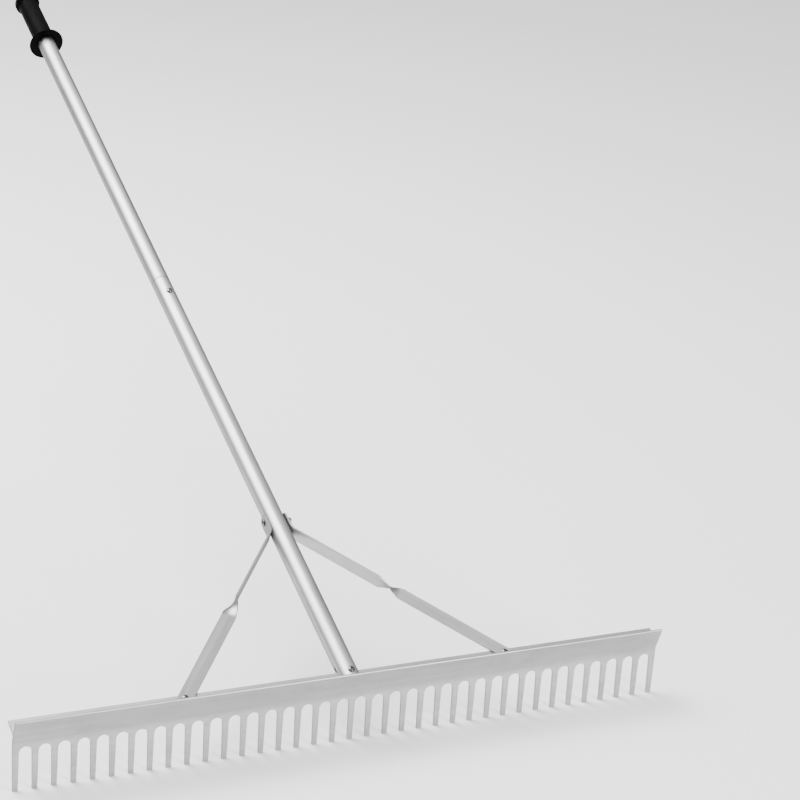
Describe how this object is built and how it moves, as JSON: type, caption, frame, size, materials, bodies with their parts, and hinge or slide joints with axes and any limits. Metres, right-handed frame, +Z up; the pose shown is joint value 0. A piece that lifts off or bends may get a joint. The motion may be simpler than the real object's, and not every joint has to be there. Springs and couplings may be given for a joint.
{
  "type": "landscape rake",
  "caption": "Wide aluminium rake with a slotted comb head, a long tube handle, two twisted braces and a rubber hand grip.",
  "frame": {"origin": "centre of the middle tine's square end face, which rests on the ground", "axes": "+Z up along the upright tines; +Y level, from the head towards the grip, so the handle rises towards +Y at 21.5 degrees; +X along the head, to the right when looking from the tines towards the grip"},
  "size_m": [0.9228, 1.5228, 0.6909],
  "materials": {
    "extruded_aluminium": "mill finish with fine lines along the head",
    "drawn_aluminium_tube": "satin, fine lines along the tube",
    "aluminium_bar": "mill finish with fine lines along the bar",
    "zinc_plated_steel": "bright zinc plate",
    "white_nylon": "smooth white nylon",
    "black_rubber": "soft satin black rubber"
  },
  "bodies": {
    "root": {"rake_head": "extruded_aluminium", "lower_tube": "drawn_aluminium_tube", "upper_tube": "drawn_aluminium_tube", "grip": "black_rubber", "left_brace": "aluminium_bar", "right_brace": "aluminium_bar", "handle_screw": "zinc_plated_steel", "handle_washer": "zinc_plated_steel", "handle_nut": "zinc_plated_steel", "joint_screw": "zinc_plated_steel", "joint_washer": "zinc_plated_steel", "joint_nut": "zinc_plated_steel", "brace_bolt": "zinc_plated_steel", "brace_bolt_washer": "zinc_plated_steel", "brace_bolt_nut": "zinc_plated_steel", "left_brace_screw": "zinc_plated_steel", "left_brace_washer": "zinc_plated_steel", "left_brace_nut": "zinc_plated_steel", "right_brace_screw": "zinc_plated_steel", "right_brace_washer": "zinc_plated_steel", "right_brace_nut": "zinc_plated_steel", "nut_rings": "white_nylon"}
  },
  "joints": []
}
